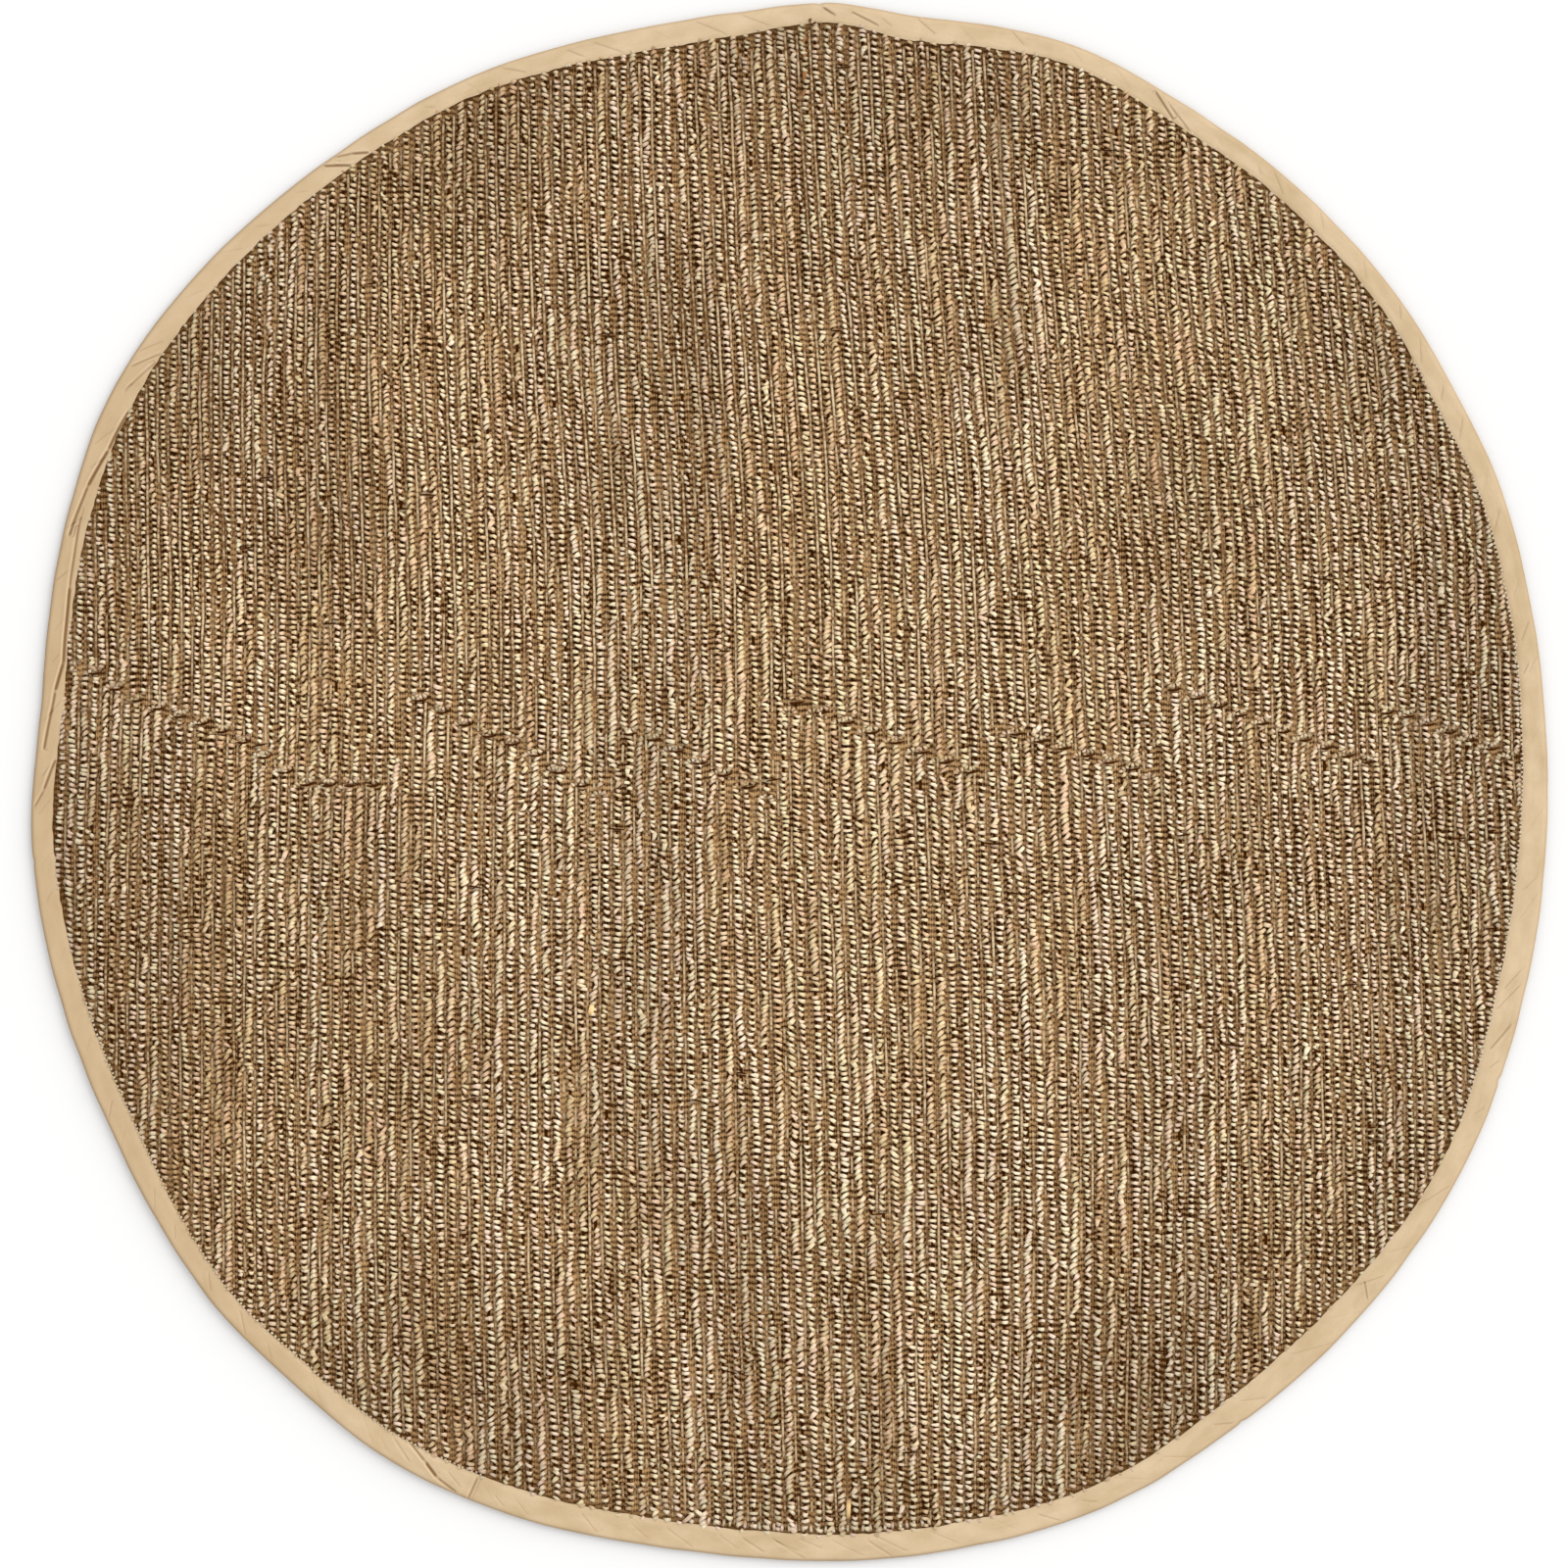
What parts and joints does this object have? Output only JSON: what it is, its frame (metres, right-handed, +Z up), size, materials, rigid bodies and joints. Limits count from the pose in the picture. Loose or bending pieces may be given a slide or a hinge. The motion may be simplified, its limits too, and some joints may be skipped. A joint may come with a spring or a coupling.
{
  "type": "round jute rug",
  "caption": "Round flat floor rug of looped jute yarn in straight rows, its uneven edge bound with a folded cotton tape.",
  "frame": {"origin": "on the floor, under the middle of the rug's outline", "axes": "+Z up from the floor; +Y along the rows of loops, which is also the rug's slightly longer way; +X across the rows"},
  "size_m": [1.4686, 1.5088, 0.01],
  "materials": {
    "jute": "matte natural jute, looped rows",
    "cotton_tape": "matte plain-weave cotton"
  },
  "bodies": {
    "root": {"jute_field": "jute", "cotton_binding": "cotton_tape"}
  },
  "joints": []
}
